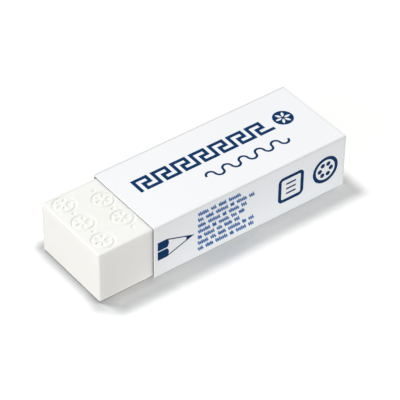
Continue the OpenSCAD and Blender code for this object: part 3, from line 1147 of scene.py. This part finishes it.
def contact_shade(tree, place, near):
    """Share of the table's light that is left close to the object: an occlusion of short
    reach, raised to a power. The power is high beyond the bare end and round its near
    corner, lower in front of it, and lowest along the sleeve and past its far end, where
    the cast shadow is dark already. A few soft strokes darken the edge of the block's own
    shadow and the table behind its back corner."""
    x = axes_of(tree, place)[0]
    beside = stretch(tree, x, block_low[0], END_CHANGE, END_CONTACT, FRONT_CONTACT)
    along = stretch(tree, x, sleeve_low[0], MOUTH_CHANGE, 1.0, SLEEVE_CONTACT / FRONT_CONTACT)
    past = stretch(tree, x, sleeve_high[0], FAR_CHANGE, 1.0, FAR_CONTACT)
    corner = (block_low[0] * MM, block_low[1] * MM, 0.0)
    away = distance(tree, place, corner)
    boost = stretch(tree, away, 0.0, (0, CORNER_REACH), CORNER_CONTACT, 1.0)
    shade = maths(tree, "POWER", near, product(tree, beside, along, boost, past))
    for middle, turn, half, depth, full, gone in SHADE_STROKES:
        away = line_distance(tree, place, middle, turn, half)
        shade = product(tree, shade, stretch(tree, away, 0.0, (full, gone), 1 - depth, 1.0))
    return shade


def table_bounce(tree, place, near):
    """Light that the table throws back at the object: a long soft pool in front of the
    sleeve that fades evenly to the table's own level, dimmed where the sleeve's foot
    shades it and a little stronger beyond the bare end."""
    x = axes_of(tree, place)[0]
    away = line_distance(tree, place, POOL_MIDDLE, 0.0, POOL_HALF)
    level = stretch(tree, away, 0.0, POOL_REACH, POOL_LEVEL, TABLE_LEVEL)
    beside = stretch(tree, x, block_low[0], BOUNCE_CHANGE, BEYOND_END_BOUNCE, 1.0)
    under = product(tree, stretch(tree, x, sleeve_low[0], MOUTH_CHANGE),
                    spread(tree, near, *FOOT_SHADE, FOOT_DIM, 0.0))
    return product(tree, level, beside, maths(tree, "SUBTRACT", 1.0, under))


def table_glow(tree, place):
    """Glow that brings the table to plain white: growing away from the middle, and a
    little more in front of the sleeve towards its far end."""
    axes = axes_of(tree, place)
    level = stretch(tree, distance(tree, place), 0.0, GLOW_REACH, NEAR_GLOW, FAR_GLOW)
    growing = stretch(tree, axes[0], 0.0, (GAIN_FROM, sleeve_high[0]), 0.0, FAR_GAIN)
    front = stretch(tree, axes[1], 0.0, GAIN_GONE, 1.0, 0.0)
    return maths(tree, "ADD", level, product(tree, growing, front))


def seen_plain(tree):
    """One for the rays that show a white surrounding: camera, gloss and glass."""
    rays = put(tree, "ShaderNodeLightPath")
    plain = maths(tree, "MAXIMUM", rays.outputs["Is Camera Ray"], rays.outputs["Is Glossy Ray"])
    return maths(tree, "MAXIMUM", plain, rays.outputs["Is Transmission Ray"])


def table_material():
    """White table. The camera sees it lit, shaded and with its glow; the object gets its
    bounce, warm beside the vinyl and cool beside the card."""
    material, tree, shader, place = new_material("white_table")
    material.cycles.emission_sampling = "NONE"
    occlusion = put(tree, "ShaderNodeAmbientOcclusion",
                    [("Distance", CONTACT_REACH * MM)], samples=CONTACT_SAMPLES)
    near = occlusion.outputs["AO"]
    shade = contact_shade(tree, place, near)
    beyond = stretch(tree, axes_of(tree, place)[0], sleeve_low[0], TINT_REACH)
    # painted tint of the table's shade, warmer beside the block and cooler beside the sleeve
    white = blend_colours(tree, beyond, BLOCK_TABLE, SLEEVE_TABLE)
    feed(tree, shader, [
        ("Base Color", blend_colours(tree, shade, (0, 0, 0, 1), white)),
        ("Roughness", 1.0),
        ("Specular IOR Level", 0.0),
    ])
    glow = put(tree, "ShaderNodeEmission",
               [("Strength", product(tree, shade, table_glow(tree, place)))])
    seen = put(tree, "ShaderNodeAddShader", [(0, shader.outputs[0]), (1, glow.outputs[0])])
    tint = blend_colours(tree, beyond, VINYL_BOUNCE, CARD_BOUNCE)
    bounce = put(tree, "ShaderNodeEmission",
                 [("Color", tint), ("Strength", table_bounce(tree, place, near))])
    either = put(tree, "ShaderNodeMixShader",
                 [(0, seen_plain(tree)), (1, bounce.outputs[0]), (2, seen.outputs[0])])
    feed(tree, tree.nodes["Material Output"], [("Surface", either.outputs[0])])
    return material


def make_table():
    """Large flat table under the object."""
    h = TABLE_HALF
    mesh = bpy.data.meshes.new("table_top")
    mesh.from_pydata([(-h, -h, 0), (h, -h, 0), (h, h, 0), (-h, h, 0)], [], [(0, 1, 2, 3)])
    mesh.materials.append(table_material())
    new_object("table_top", mesh)


def make_world():
    """Even soft light from all round; the camera, gloss and glass see plain white."""
    world = bpy.data.worlds.new("soft_room")
    bpy.context.scene.world = world
    world.use_nodes = True
    tree = world.node_tree
    level = spread(tree, seen_plain(tree), 0.0, 1.0, DOME_LEVEL, 1.0)
    feed(tree, tree.nodes["Background"], [("Color", (1, 1, 1, 1)), ("Strength", level)])


def place_lamp(name, data, towards, place=(0, 0, 0)):
    """Lamp object at a place, turned so that its light comes from the direction towards."""
    turn = Vector(towards).to_track_quat("Z", "Y").to_matrix().to_4x4()
    new_object(name, data).matrix_world = Matrix.Translation(place) @ turn


def make_lamps():
    """High key from behind on the left, far off, and a square softbox near the bare end."""
    key = bpy.data.lights.new("key_softbox", "SUN")
    key.energy = KEY_LEVEL * math.pi
    key.angle = math.radians(KEY_ANGLE)
    place_lamp("key_softbox", key, KEY_WAY)
    side = bpy.data.lights.new("side_softbox", "AREA")
    side.shape = "SQUARE"
    side.size = SIDE_SIZE
    side.energy = SIDE_POWER
    place_lamp("side_softbox", side, SIDE_PLACE, SIDE_PLACE)


make_table()
make_world()
make_lamps()
